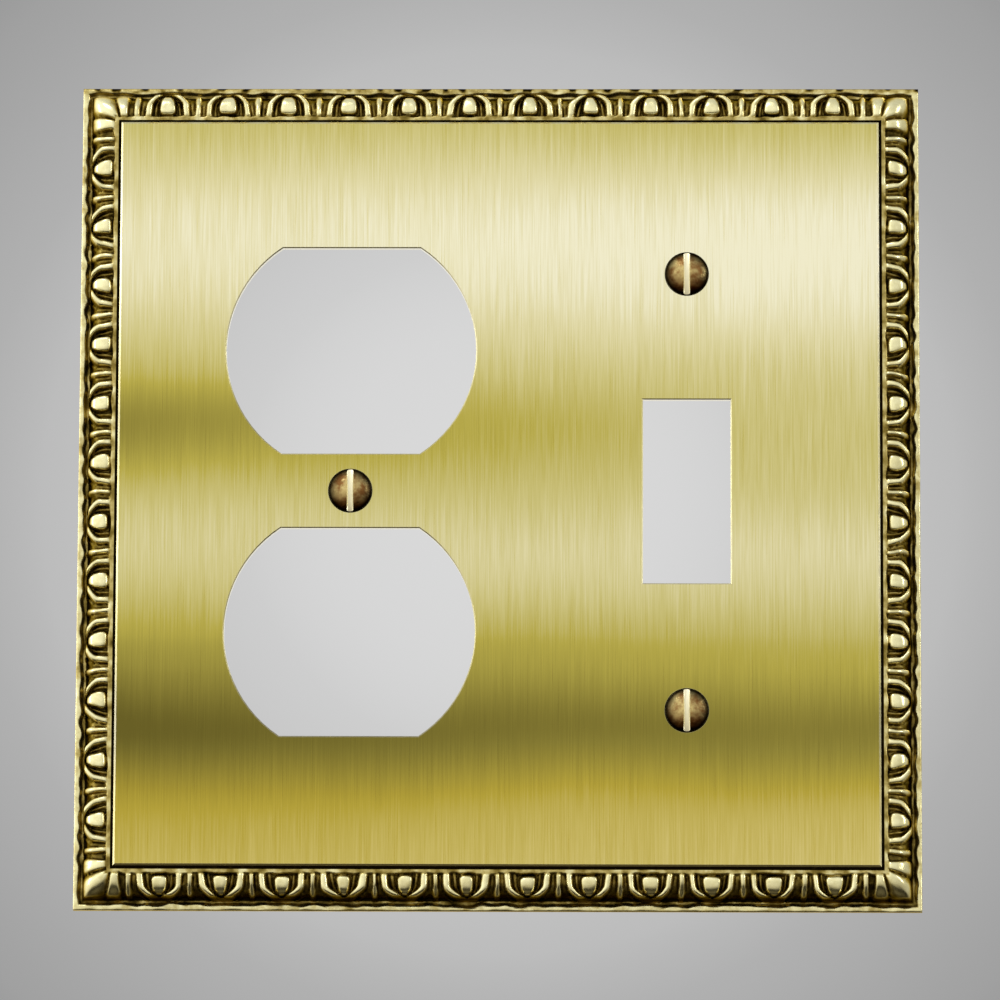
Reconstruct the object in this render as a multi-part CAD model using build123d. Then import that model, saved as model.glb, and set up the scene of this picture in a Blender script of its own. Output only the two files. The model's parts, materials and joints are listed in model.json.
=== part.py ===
from build123d import *
import math
import os

# Two-gang wall plate cover, one gang for a duplex receptacle and one for a toggle switch.
# Millimetres. The origin is the plate's centre on the wall plane. +X is to the right and +Z is up
# for someone facing the plate, whose front faces -Y. A height above the wall is a distance along -Y.

# Plate outline
PLATE_WIDTH = 115.8
PLATE_HEIGHT = 114.3

# Border moulding. Insets are measured inwards from the plate's outer edge.
RIM_HEIGHT = 1.4
RIM_BEVEL = 0.25
RIM_INSET = 0.75
TROUGH_HEIGHT = 0.9
OVOLO_START_INSET = 1.2
OVOLO_TOP_INSET = 4.7
BORDER_HEIGHT = 5.8
GROOVE_INSET = 5.3
LEDGE_INNER_INSET = 8.7
LEDGE_THICKNESS = 1.4
FOOT_WIDTH = 1.6
HOLLOW_INSET = 3.4
HOLLOW_HEIGHT = 3.4
LEDGE_ROOT_INSET = 4.6

# Face panel, a sheet lying on the border's ledge
PANEL_INSET = 5.7
PANEL_BACK_HEIGHT = 5.2
PANEL_THICKNESS = 1.2
PANEL_BEVEL = 0.25
OPENING_BEVEL = 0.15

# Gangs
GANG_SPACING = 46.04
GANG_OFFSET = 2.77
RECEPTACLE_SPACING = 38.9
RECEPTACLE_DIAMETER = 34.3
RECEPTACLE_FLATS = 28.6
TOGGLE_SLOT_WIDTH = 12.0
TOGGLE_SLOT_HEIGHT = 25.4
TOGGLE_SCREW_SPACING = 60.325

# Number 6-32 oval-head screws with a reduced shank behind the head
COUNTERSINK_ANGLE = 82
COUNTERSINK_RADIUS = 3.05
SCREW_HOLE_RADIUS = 2.05
HEAD_RADIUS = 2.95
HEAD_EDGE_GAP = 0.05
HEAD_DOME_HEIGHT = 1.05
HEAD_SLOT_WIDTH = 1.0
HEAD_SLOT_FLOOR = 0.05
SHANK_RADIUS = 1.4
THREAD_RADIUS = 1.7525
THREAD_TOP_HEIGHT = 0.3
THREAD_TIP_BEVEL = 0.3
SCREW_LENGTH = 12.7

# Retaining washer on each screw's reduced shank
WASHER_OUTER_RADIUS = 3.6
WASHER_INNER_RADIUS = 1.5
WASHER_THICKNESS = 0.8
WASHER_GAP = 0.05

# Solder tacks in the corner between the ledge and the panel's back
TACK_LEG = 1.1
TACK_LENGTH = 9.0
TACK_STEP = 32.0
TACKS_PER_SIDE = 3

# Values worked out from the dimensions above
PANEL_FRONT_HEIGHT = PANEL_BACK_HEIGHT + PANEL_THICKNESS
HEAD_EDGE_HEIGHT = PANEL_FRONT_HEIGHT + HEAD_EDGE_GAP
CONE_SLOPE = math.tan(math.radians(COUNTERSINK_ANGLE / 2))
DUPLEX_X = GANG_OFFSET - GANG_SPACING / 2
TOGGLE_X = GANG_OFFSET + GANG_SPACING / 2
TOGGLE_SCREW_Z = TOGGLE_SCREW_SPACING / 2
SCREWS = {
    "duplex_screw": (DUPLEX_X, 0),
    "toggle_upper_screw": (TOGGLE_X, TOGGLE_SCREW_Z),
    "toggle_lower_screw": (TOGGLE_X, -TOGGLE_SCREW_Z),
}


def front_plane(x, z, height=0.0):
    """A plane facing the viewer: its X and Y are the row's X and Z, its Z is height above the wall."""
    return Plane(origin=(x, -height, z), x_dir=(1, 0, 0), z_dir=(0, -1, 0))


def border_profile():
    """The moulding's section: X is the inset from the outer edge and Y is height above the wall."""
    ovolo = EllipticalCenterArc(
        center=(OVOLO_TOP_INSET, TROUGH_HEIGHT),
        x_radius=OVOLO_TOP_INSET - OVOLO_START_INSET,
        y_radius=BORDER_HEIGHT - TROUGH_HEIGHT,
        start_angle=90,
        arc_size=90,
    )
    ledge_back = PANEL_BACK_HEIGHT - LEDGE_THICKNESS
    outer_side = Polyline(
        (FOOT_WIDTH, 0),
        (0, 0),
        (0, RIM_HEIGHT - RIM_BEVEL),
        (RIM_BEVEL, RIM_HEIGHT),
        (RIM_INSET, RIM_HEIGHT),
        (OVOLO_START_INSET - 0.1, TROUGH_HEIGHT),
        (OVOLO_START_INSET, TROUGH_HEIGHT),
    )
    inner_side = Polyline(
        (OVOLO_TOP_INSET, BORDER_HEIGHT),
        (GROOVE_INSET, BORDER_HEIGHT),
        (GROOVE_INSET, PANEL_BACK_HEIGHT),
        (LEDGE_INNER_INSET, PANEL_BACK_HEIGHT),
        (LEDGE_INNER_INSET, ledge_back),
        (LEDGE_ROOT_INSET, ledge_back),
        (HOLLOW_INSET, HOLLOW_HEIGHT),
        (FOOT_WIDTH, 0),
    )
    return make_face([*outer_side.edges(), ovolo, *inner_side.edges()])


def border_side(side_length, half_span):
    """The bottom side of a frame: the moulding along X, mitred at both ends."""
    section_plane = Plane(origin=(0, 0, -half_span), x_dir=(0, 0, 1), z_dir=(1, 0, 0))
    moulding = extrude(section_plane * border_profile(), amount=side_length / 2, both=True)
    half = side_length / 2
    inset = LEDGE_INNER_INSET + 1
    outline = make_face(
        Polyline(
            (-half, -half_span),
            (half, -half_span),
            (half - inset, -half_span + inset),
            (-half + inset, -half_span + inset),
            close=True,
        )
    )
    mitre = extrude(front_plane(0, 0, -1) * outline, amount=BORDER_HEIGHT + 2)
    return moulding & mitre


def border_frame():
    """Four mitred lengths of the moulding, cast as one ring with a hollow back and an inner ledge."""
    bottom = border_side(PLATE_WIDTH, PLATE_HEIGHT / 2)
    side = border_side(PLATE_HEIGHT, PLATE_WIDTH / 2)
    ring = bottom + Rot(0, 180, 0) * bottom + Rot(0, 90, 0) * side + Rot(0, -90, 0) * side
    return ring


def receptacle_outline():
    """A round opening with its top and bottom cut flat."""
    return Circle(RECEPTACLE_DIAMETER / 2) & Rectangle(RECEPTACLE_DIAMETER + 2, RECEPTACLE_FLATS)


def panel_openings():
    """The outline and place of each large opening in the panel."""
    toggle_slot = Rectangle(TOGGLE_SLOT_WIDTH, TOGGLE_SLOT_HEIGHT)
    return [
        (receptacle_outline(), DUPLEX_X, RECEPTACLE_SPACING / 2),
        (receptacle_outline(), DUPLEX_X, -RECEPTACLE_SPACING / 2),
        (toggle_slot, TOGGLE_X, 0),
    ]


def countersunk_hole(x, z):
    """The space cut for one screw: a through hole and its cone."""
    overrun = 1.0
    plane = front_plane(x, z, PANEL_FRONT_HEIGHT)
    hole = Cylinder(
        SCREW_HOLE_RADIUS,
        PANEL_THICKNESS + overrun,
        align=(Align.CENTER, Align.CENTER, Align.MAX),
    )
    cone_depth = (COUNTERSINK_RADIUS - SCREW_HOLE_RADIUS) / CONE_SLOPE
    cone = Cone(
        SCREW_HOLE_RADIUS,
        COUNTERSINK_RADIUS,
        cone_depth,
        align=(Align.CENTER, Align.CENTER, Align.MAX),
    )
    return plane * (hole + cone)


def face_panel():
    """The flat sheet that closes the frame, with its openings and countersinks."""
    sheet = Rectangle(PLATE_WIDTH - 2 * PANEL_INSET, PLATE_HEIGHT - 2 * PANEL_INSET)
    back_plane = front_plane(0, 0, PANEL_BACK_HEIGHT)
    panel = extrude(back_plane * sheet, amount=PANEL_THICKNESS)
    panel = chamfer(panel.faces().sort_by(Axis.Y)[0].edges(), PANEL_BEVEL)
    for outline, x, z in panel_openings():
        panel -= extrude(front_plane(x, z, PANEL_BACK_HEIGHT - 1) * outline, amount=PANEL_THICKNESS + 2)
    front = panel.faces().sort_by(Axis.Y)[0]
    panel = chamfer([edge for wire in front.inner_wires() for edge in wire.edges()], OPENING_BEVEL)
    for x, z in SCREWS.values():
        panel -= countersunk_hole(x, z)
    return panel


def screw_profile():
    """Half of the screw's section: X is the radius and Y is height above the wall."""
    tip_height = HEAD_EDGE_HEIGHT - SCREW_LENGTH
    cone_foot = HEAD_EDGE_HEIGHT - (HEAD_RADIUS - SHANK_RADIUS) / CONE_SLOPE
    crown_height = HEAD_EDGE_HEIGHT + HEAD_DOME_HEIGHT
    dome_radius = (HEAD_RADIUS**2 + HEAD_DOME_HEIGHT**2) / (2 * HEAD_DOME_HEIGHT)
    shank_side = Polyline(
        (0, crown_height),
        (0, tip_height),
        (THREAD_RADIUS - THREAD_TIP_BEVEL, tip_height),
        (THREAD_RADIUS, tip_height + THREAD_TIP_BEVEL),
        (THREAD_RADIUS, THREAD_TOP_HEIGHT),
        (SHANK_RADIUS, THREAD_TOP_HEIGHT),
        (SHANK_RADIUS, cone_foot),
        (HEAD_RADIUS, HEAD_EDGE_HEIGHT),
    )
    dome = RadiusArc((HEAD_RADIUS, HEAD_EDGE_HEIGHT), (0, crown_height), -dome_radius)
    return make_face([*shank_side.edges(), dome])


def screw(x, z):
    """An oval-head slotted machine screw, with its slot upright."""
    section_plane = Plane(origin=(x, 0, z), x_dir=(1, 0, 0), z_dir=(0, 0, 1)).rotated((180, 0, 0))
    body = revolve(section_plane * screw_profile(), axis=Axis((x, 0, z), (0, -1, 0)))
    slot_height = HEAD_DOME_HEIGHT + 1
    slot = Box(
        HEAD_SLOT_WIDTH,
        2 * HEAD_RADIUS + 1,
        slot_height,
        align=(Align.CENTER, Align.CENTER, Align.MIN),
    )
    return body - front_plane(x, z, HEAD_EDGE_HEIGHT + HEAD_SLOT_FLOOR) * slot


def retaining_washer(x, z):
    """A flat ring on the screw's reduced shank, just in front of the thread."""
    ring = Circle(WASHER_OUTER_RADIUS) - Circle(WASHER_INNER_RADIUS)
    return extrude(front_plane(x, z, THREAD_TOP_HEIGHT + WASHER_GAP) * ring, amount=WASHER_THICKNESS)


def solder_tack(half_span):
    """One three-sided bead at the middle of the bottom side, against the ledge and the panel."""
    edge_z = -half_span + LEDGE_INNER_INSET
    section = Plane.YZ * make_face(
        Polyline(
            (-PANEL_BACK_HEIGHT, edge_z),
            (-PANEL_BACK_HEIGHT, edge_z + TACK_LEG),
            (-PANEL_BACK_HEIGHT + TACK_LEG, edge_z),
            close=True,
        )
    )
    return extrude(section, amount=TACK_LENGTH / 2, both=True)


def solder_tacks():
    """The same number of tacks along each side of the ledge, as separate solids."""
    tacks = []
    half_spans = {0: PLATE_HEIGHT / 2, 90: PLATE_WIDTH / 2, 180: PLATE_HEIGHT / 2, 270: PLATE_WIDTH / 2}
    for turn, half_span in half_spans.items():
        for index in range(TACKS_PER_SIDE):
            along = (index - (TACKS_PER_SIDE - 1) / 2) * TACK_STEP
            tacks.append(Rot(0, turn, 0) * Pos(along, 0, 0) * solder_tack(half_span))
    return Compound(children=tacks)


export_step(border_frame(), "parts/border_frame.step")
export_step(face_panel(), "parts/face_panel.step")
export_step(solder_tacks(), "parts/solder_tacks.step")
for name, (screw_x, screw_z) in SCREWS.items():
    export_step(screw(screw_x, screw_z), f"parts/{name}.step")
    export_step(retaining_washer(screw_x, screw_z), f"parts/{name}_washer.step")
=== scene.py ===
import json
import math

import bmesh
import bpy
import numpy as np
from mathutils import Matrix, Vector


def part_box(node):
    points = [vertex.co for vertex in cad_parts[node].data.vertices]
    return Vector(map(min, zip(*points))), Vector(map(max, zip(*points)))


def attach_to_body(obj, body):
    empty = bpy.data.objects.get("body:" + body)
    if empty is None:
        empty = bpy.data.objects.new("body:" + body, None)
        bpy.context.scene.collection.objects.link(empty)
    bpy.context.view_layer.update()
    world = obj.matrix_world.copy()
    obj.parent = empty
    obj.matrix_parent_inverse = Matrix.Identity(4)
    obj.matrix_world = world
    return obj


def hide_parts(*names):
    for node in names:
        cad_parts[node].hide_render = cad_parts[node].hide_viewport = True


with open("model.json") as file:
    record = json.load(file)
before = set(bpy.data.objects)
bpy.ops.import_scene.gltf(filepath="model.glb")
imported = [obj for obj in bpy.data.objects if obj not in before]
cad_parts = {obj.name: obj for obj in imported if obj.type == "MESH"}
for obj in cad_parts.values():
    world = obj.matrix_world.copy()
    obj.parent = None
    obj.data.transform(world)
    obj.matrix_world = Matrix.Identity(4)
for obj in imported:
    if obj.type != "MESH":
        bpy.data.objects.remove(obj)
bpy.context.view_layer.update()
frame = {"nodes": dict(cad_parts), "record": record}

bl_info = {
    "name": "Carved Brass Wall Plate",
    "version": (1, 0, 0),
    "blender": (4, 5, 0),
    "location": "3D View > Sidebar > Wall Plate",
    "description": "Builds the carved border, brushed panel, screws and washers of a two-gang wall plate",
    "category": "Add Mesh",
}

MM = 0.001
SCREW_NODES = ("duplex_screw", "toggle_upper_screw", "toggle_lower_screw")
BORDER_LOW, BORDER_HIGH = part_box("border_frame")
PANEL_LOW, PANEL_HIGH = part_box("face_panel")
PLATE_WIDTH = BORDER_HIGH.x - BORDER_LOW.x
PLATE_HEIGHT = BORDER_HIGH.z - BORDER_LOW.z


# -------- settings


class WallPlateBorderSettings(bpy.types.PropertyGroup):
    egg_count: bpy.props.IntProperty(
        name="Eggs per side", description="Eggs along each side of the border", default=12, min=3
    )
    first_egg: bpy.props.FloatProperty(
        name="First egg", description="Distance from the corner to the first egg's middle",
        default=12.0 * MM, unit="LENGTH",
    )
    carving_depth: bpy.props.FloatProperty(
        name="Carving depth", description="Depth of the grooves below the moulding's face",
        default=0.95 * MM, unit="LENGTH",
    )
    leg_splay: bpy.props.FloatProperty(
        name="Leg splay", description="How far the shells' legs spread towards the panel",
        default=0.28 * MM, unit="LENGTH",
    )
    high_colour: bpy.props.FloatVectorProperty(
        name="Rubbed brass", description="Colour of the rubbed high points",
        default=(0.88, 0.82, 0.48), subtype="COLOR", size=3, min=0, max=1,
    )
    low_colour: bpy.props.FloatVectorProperty(
        name="Antiquing", description="Colour of the dark finish left in the recesses",
        default=(0.065, 0.044, 0.008), subtype="COLOR", size=3, min=0, max=1,
    )


class WallPlatePanelSettings(bpy.types.PropertyGroup):
    line_width: bpy.props.FloatProperty(
        name="Brush line width", description="Width of one brush line", default=0.2 * MM, unit="LENGTH"
    )
    line_length: bpy.props.FloatProperty(
        name="Brush line length", description="Length of one brush line", default=11.0 * MM, unit="LENGTH"
    )


class WallPlateScrewSettings(bpy.types.PropertyGroup):
    pitch: bpy.props.FloatProperty(
        name="Thread pitch", description="Travel in one turn, 32 threads an inch",
        default=0.79375 * MM, unit="LENGTH", precision=6,
    )
    slot_width: bpy.props.FloatProperty(
        name="Slot width", description="Width of the screwdriver slot", default=0.86 * MM, unit="LENGTH"
    )
    plating: bpy.props.FloatVectorProperty(
        name="Plating", description="Colour of the aged brass plating",
        default=(0.66, 0.52, 0.21), subtype="COLOR", size=3, min=0, max=1,
    )


class WallPlateStageSettings(bpy.types.PropertyGroup):
    azimuth: bpy.props.FloatProperty(
        name="Camera azimuth", description="Camera angle round the plate",
        default=math.radians(1.0), subtype="ANGLE", unit="ROTATION",
    )
    elevation: bpy.props.FloatProperty(
        name="Camera elevation", description="Camera angle above the plate's middle",
        default=math.radians(-8.49), subtype="ANGLE", unit="ROTATION",
    )
    roll: bpy.props.FloatProperty(
        name="Camera roll", description="Camera turn about its own axis",
        default=math.radians(0.23), subtype="ANGLE", unit="ROTATION",
    )
    distance: bpy.props.FloatProperty(
        name="Camera distance", description="Camera distance from the plate's middle",
        default=0.9365, unit="LENGTH",
    )
    lens: bpy.props.FloatProperty(
        name="Lens", description="Focal length in millimetres on a 36 mm sensor", default=244.8
    )


# -------- shader helpers


def add_node(tree, kind, **settings):
    node = tree.nodes.new(kind)
    for name, value in settings.items():
        setattr(node, name, value)
    return node


def feed(tree, socket, value):
    """Links a socket or sets a plain value."""
    if isinstance(value, bpy.types.NodeSocket):
        tree.links.new(value, socket)
    else:
        socket.default_value = value


def feed_inputs(tree, node, **values):
    """Feeds a node's inputs by name; underscores in the names given stand for spaces."""
    for name, value in values.items():
        feed(tree, node.inputs[name.replace("_", " ")], value)


def calculate(tree, operation, first, second=None):
    node = add_node(tree, "ShaderNodeMath", operation=operation)
    feed(tree, node.inputs[0], first)
    if second is not None:
        feed(tree, node.inputs[1], second)
    return node.outputs[0]


def remap(tree, value, from_low, from_high, to_low=0.0, to_high=1.0, smooth=False):
    node = add_node(tree, "ShaderNodeMapRange", interpolation_type="SMOOTHSTEP" if smooth else "LINEAR")
    feed_inputs(tree, node, Value=value, From_Min=from_low, From_Max=from_high)
    feed_inputs(tree, node, To_Min=to_low, To_Max=to_high)
    return node.outputs[0]


def mix_colour(tree, factor, first, second, blend_type="MIX"):
    node = add_node(tree, "ShaderNodeMix", data_type="RGBA", blend_type=blend_type)
    feed(tree, node.inputs[0], factor)
    for socket, colour in ((node.inputs[6], first), (node.inputs[7], second)):
        feed(tree, socket, colour if isinstance(colour, bpy.types.NodeSocket) else (*colour, 1.0))
    return node.outputs[2]


def ramp(tree, value, stops, interpolation="LINEAR"):
    """A colour ramp; each stop is a position and a grey level or a colour."""
    node = add_node(tree, "ShaderNodeValToRGB")
    node.color_ramp.interpolation = interpolation
    elements = node.color_ramp.elements
    while len(elements) < len(stops):
        elements.new(0.5)
    for element, (position, colour) in zip(elements, stops):
        element.position = position
        element.color = (colour, colour, colour, 1.0) if isinstance(colour, float) else (*colour, 1.0)
    feed(tree, node.inputs[0], value)
    return node.outputs[0]


def noise(tree, vector, scale, detail=2.0, roughness=0.5):
    node = add_node(tree, "ShaderNodeTexNoise")
    feed_inputs(tree, node, Vector=vector, Scale=scale, Detail=detail, Roughness=roughness)
    return node.outputs["Fac"]


def object_point(tree):
    return add_node(tree, "ShaderNodeTexCoord").outputs["Object"]


def components(tree, vector):
    """The X, Y and Z of a vector."""
    node = add_node(tree, "ShaderNodeSeparateXYZ")
    feed(tree, node.inputs[0], vector)
    return node.outputs


def surface_direction(tree):
    """The X, Y and Z of the surface's own direction."""
    return components(tree, add_node(tree, "ShaderNodeNewGeometry").outputs["Normal"])


def bump(tree, height, distance, strength=1.0):
    node = add_node(tree, "ShaderNodeBump")
    feed_inputs(tree, node, Strength=strength, Distance=distance, Height=height)
    return node.outputs["Normal"]


def place_group(tree, group, **values):
    """Places a shared effect and gives its outputs."""
    node = add_node(tree, "ShaderNodeGroup", node_tree=group)
    feed_inputs(tree, node, **values)
    return node.outputs


def new_group(name, inputs, outputs):
    """A node group, with the values it is given and the results it puts out."""
    group = bpy.data.node_groups.new(name, "ShaderNodeTree")
    for socket_name, kind, default in inputs:
        socket = group.interface.new_socket(socket_name, in_out="INPUT", socket_type=kind)
        if default is not None:
            socket.default_value = default
    for socket_name, kind in outputs:
        group.interface.new_socket(socket_name, in_out="OUTPUT", socket_type=kind)
    return group, add_node(group, "NodeGroupInput").outputs, add_node(group, "NodeGroupOutput").inputs


def new_material(name, **shader_values):
    """A material with one Principled BSDF, whose constant inputs are set directly."""
    material = bpy.data.materials.new(name)
    material.use_nodes = True
    tree = material.node_tree
    shader = tree.nodes["Principled BSDF"]
    feed_inputs(tree, shader, **shader_values)
    return material, tree, shader


# -------- shared effects


def brush_lines_group():
    """Straight brush lines along Z: a fine set and a broad set, as grey levels round one half."""
    group, given, result = new_group(
        "Brush lines",
        [("Vector", "NodeSocketVector", None),
         ("Line Width", "NodeSocketFloat", 0.16 * MM),
         ("Line Length", "NodeSocketFloat", 9.0 * MM)],
        [("Fine", "NodeSocketFloat"), ("Broad", "NodeSocketFloat")],
    )
    for name, widen in (("Fine", 1.0), ("Broad", 5.0)):
        across = calculate(group, "DIVIDE", 1.0 / widen, given["Line Width"])
        along = calculate(group, "DIVIDE", 1.0 / widen, given["Line Length"])
        scale = add_node(group, "ShaderNodeCombineXYZ")
        feed_inputs(group, scale, X=across, Y=across, Z=along)
        stretched = add_node(group, "ShaderNodeVectorMath", operation="MULTIPLY")
        feed(group, stretched.inputs[0], given["Vector"])
        feed(group, stretched.inputs[1], scale.outputs[0])
        feed(group, result[name], noise(group, stretched.outputs[0], 1.0, 3.0, 0.6))
    return group


def edge_wear_group():
    """How much an edge is rubbed: one on edges sharper than the radius, none on flats."""
    group, given, result = new_group(
        "Edge wear",
        [("Vector", "NodeSocketVector", None),
         ("Radius", "NodeSocketFloat", 0.15 * MM),
         ("Patchiness", "NodeSocketFloat", 0.5)],
        [("Wear", "NodeSocketFloat")],
    )
    rounded = add_node(group, "ShaderNodeBevel", samples=6)
    feed(group, rounded.inputs["Radius"], given["Radius"])
    true_normal = add_node(group, "ShaderNodeNewGeometry").outputs["Normal"]
    likeness = add_node(group, "ShaderNodeVectorMath", operation="DOT_PRODUCT")
    feed(group, likeness.inputs[0], rounded.outputs[0])
    feed(group, likeness.inputs[1], true_normal)
    edge = remap(group, likeness.outputs["Value"], 0.995, 0.86)
    patches = noise(group, given["Vector"], 900.0, 3.0)
    kept = calculate(group, "MULTIPLY", remap(group, patches, 0.35, 0.6), given["Patchiness"])
    rubbed = calculate(group, "SUBTRACT", 1.0, kept)
    feed(group, result["Wear"], calculate(group, "MULTIPLY", edge, rubbed))
    return group


def tarnish_group():
    """Soft cloudy patches and fine specks of tarnish."""
    group, given, result = new_group(
        "Tarnish",
        [("Vector", "NodeSocketVector", None), ("Patch Size", "NodeSocketFloat", 6.0 * MM)],
        [("Clouds", "NodeSocketFloat"), ("Specks", "NodeSocketFloat")],
    )
    scale = calculate(group, "DIVIDE", 1.0, given["Patch Size"])
    clouds = noise(group, given["Vector"], scale, 5.0, 0.62)
    feed(group, result["Clouds"], remap(group, clouds, 0.32, 0.68, smooth=True))
    specks = noise(group, given["Vector"], calculate(group, "MULTIPLY", scale, 14.0), 2.0)
    feed(group, result["Specks"], remap(group, specks, 0.6, 0.72, smooth=True))
    return group


# -------- mesh helpers


def ease(value, low, high):
    """A smooth step from nought at low to one at high."""
    x = np.clip((value - low) / (high - low), 0.0, 1.0)
    return x * x * (3.0 - 2.0 * x)


def ridge(distance, half_width, fullness=0.7):
    """A rounded ridge that is one at its middle and nought beyond its half width."""
    x = np.clip(np.abs(distance) / half_width, 0.0, 1.0)
    return np.cos(x * math.pi / 2) ** fullness


def wander(x, z, wavelength, seed):
    """A smooth wandering value between about minus one and one, the same for the same seed."""
    rng = np.random.default_rng(seed)
    total = np.zeros_like(x)
    for _ in range(6):
        direction = rng.uniform(0, 2 * math.pi)
        phase = rng.uniform(0, 2 * math.pi)
        pull = rng.uniform(0.7, 1.5) * 2 * math.pi / wavelength
        total += np.sin((x * math.cos(direction) + z * math.sin(direction)) * pull + phase)
    return total / 3.0


def grid_faces(rows, columns, offset=0, closed=False):
    """Quads between the points of a grid stored row by row; closed joins the last column to the first."""
    steps = columns if closed else columns - 1
    row, column = np.meshgrid(np.arange(rows - 1), np.arange(steps), indexing="ij")
    following = (column + 1) % columns
    corners = (
        row * columns + column,
        row * columns + following,
        (row + 1) * columns + following,
        (row + 1) * columns + column,
    )
    return (np.stack(corners, -1).reshape(-1, 4) + offset).tolist()


def new_object(name, data):
    """An object in the scene."""
    piece = bpy.data.objects.new(name, data)
    bpy.context.scene.collection.objects.link(piece)
    return piece


def new_piece(name, points, faces, node, sharp_angle=50.0):
    """A mesh piece in metres that stands for a CAD node and rides on that node's body."""
    mesh = bpy.data.meshes.new(name)
    mesh.from_pydata([tuple(p) for p in points], [], faces)
    mesh.validate()
    piece = new_object(name, mesh)
    finish_shading(piece, sharp_angle)
    attach(piece, node)
    return piece


def clean_faces(mesh):
    """Merges the points that coincide and turns the faces outwards."""
    working = bmesh.new()
    working.from_mesh(mesh)
    bmesh.ops.remove_doubles(working, verts=working.verts, dist=1e-7)
    bmesh.ops.recalc_face_normals(working, faces=working.faces)
    working.to_mesh(mesh)
    working.free()


def finish_shading(piece, sharp_angle):
    clean_faces(piece.data)
    piece.data.shade_smooth()
    piece.data.set_sharp_from_angle(angle=math.radians(sharp_angle))


def attach(piece, node):
    bodies = frame["record"]["behaviour"]["bodies"]
    body = next(name for name, nodes in bodies.items() if node in nodes)
    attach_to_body(piece, body)
    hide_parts(node)


# -------- border

# Millimetres. An inset is measured inwards from the plate's outer edge, a height from the wall. A wandering
# value's last number is its seed, and the number before it its wavelength.

RIM_TOP = 1.4
RIM_INSET = 0.76
TROUGH = 0.9
OVOLO_START = 1.2
OVOLO_TOP = 4.7
OVOLO_SQUARENESS = 2.4
ARM_SQUARENESS = 6.5
EGG_SQUARENESS = 3.0
CARVED_INSET = 5.3
FACE_HEIGHT = 5.8
LIP_BAND = (4.5, 4.8)
LEDGE_TOP = 5.2
LEDGE_INNER_INSET = 8.7
ARCH_SPRING = 3.1
EGG_MIDDLE = 3.12
EGG_HALF_WIDTH = 1.06
EGG_HALF_LENGTH = 1.42
RIM_BAND = (1.28, 1.68)
ARM_BAND = (1.92, 3.02)
FLOOR_RIDGE = 3.36
DART_HALF_WIDTH = 0.48
# How dark the antiquing is: nought where it is rubbed off, one where all of it is left
PATINA = ((0.0, 0.45, 0.72, 0.86, 0.97), (0.84, 0.67, 0.57, 0.36, 0.05))
BACK_PATINA = 0.3
# Past one: the near-black painted shade for the shadow in the deep gap beside the panel and on the ledge
# under it
GAP_PAINTED_SHADE = 1.1
LEAF_ROOT = 5.43
LEAF_EDGE = 6.85
GRID_INSETS = np.concatenate([
    (0.0, 0.1, 0.25, 0.5, 0.68, 0.82, 0.96),
    np.arange(1.1, 2.5, 0.1),
    np.linspace(2.5, OVOLO_TOP, 12, endpoint=False),
    (4.7, 4.82, 4.94, 5.1, 5.26, CARVED_INSET),
])
# Insets and heights of the border's plain back, from its outer edge round to the gap beside the panel
BACK_OUTLINE = (
    (0.0, 0.0), (1.6, 0.0), (3.4, 3.4), (4.6, 3.8),
    (LEDGE_INNER_INSET, 3.8), (LEDGE_INNER_INSET, LEDGE_TOP), (CARVED_INSET, LEDGE_TOP),
)


def moulding_height(inset, rim_inset, sunk=0.0, squareness=OVOLO_SQUARENESS):
    """Height of the moulding at an inset, with its quarter round sunk by some depth."""
    start = OVOLO_START + sunk * 0.55
    top = FACE_HEIGHT - sunk
    fraction = np.clip((OVOLO_TOP - inset) / (OVOLO_TOP - start), 0.0, 1.0)
    ovolo = TROUGH + (top - TROUGH) * (1 - fraction**squareness) ** (1 / squareness)
    rim = RIM_TOP - (RIM_TOP - TROUGH) * ease(inset, rim_inset - 0.1, rim_inset + 0.25)
    rim = rim - 0.12 * (1 - ease(inset, 0.0, 0.15))
    return np.where(inset < start, rim, ovolo)


def arch_distance(offset, inset, squash, roundness):
    """Distance from an egg's middle line, bent round into an arch beyond the arch's spring."""
    rise = squash * np.clip(ARCH_SPRING - inset, 0.0, None)
    return (np.abs(offset) ** roundness + rise**roundness) ** (1 / roundness)


def flat_ridge(distance, half_width):
    """A broad ridge with a nearly flat top and steep sides, nought beyond its half width."""
    x = np.clip(np.abs(distance) / half_width, 0.0, 1.0)
    return np.sqrt(1.0 - x**4)


def band(distance, limits):
    """A flat ridge between two limits."""
    middle = (limits[0] + limits[1]) / 2
    return flat_ridge(distance - middle, limits[1] - middle)


def carving(offset, inset, half_pitch):
    """The carving's height, from its ground at nought to the face at one, and the face's squareness."""
    rim = 0.52 * band(arch_distance(offset, inset, 1.0, 1.8), RIM_BAND)
    arch = arch_distance(offset, inset, 1.34, 1.5)
    arm = band(arch, ARM_BAND) * ease(inset, 1.15, 1.75)
    halo = 0.36 * ridge(arch - ARM_BAND[1] - 0.42, 0.22) * (1 - ease(inset, 1.9, 2.6))
    lengthwise = (inset - EGG_MIDDLE) / EGG_HALF_LENGTH
    bluntness = np.where(lengthwise > 0, 4.0, 3.4)
    radius = np.abs(offset / EGG_HALF_WIDTH) ** bluntness + np.abs(lengthwise) ** bluntness
    egg = 1.08 * np.clip(1 - radius**2, 0.0, None) ** 0.5
    from_dart = half_pitch - np.abs(offset)
    dart = flat_ridge(from_dart, DART_HALF_WIDTH * (0.8 + 0.2 * ease(inset, 1.4, 4.6)))
    floor = 0.38 * ridge(np.abs(offset) - FLOOR_RIDGE, 0.34) * ease(inset, 2.0, 2.6)
    relief = np.maximum.reduce([rim, arm, halo, egg, 0.96 * dart * ease(inset, 1.2, 1.8), floor])
    squareness = np.where(np.abs(offset) < RIM_BAND[0], EGG_SQUARENESS, OVOLO_SQUARENESS)
    return relief, squareness + (ARM_SQUARENESS - squareness) * arm


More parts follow.
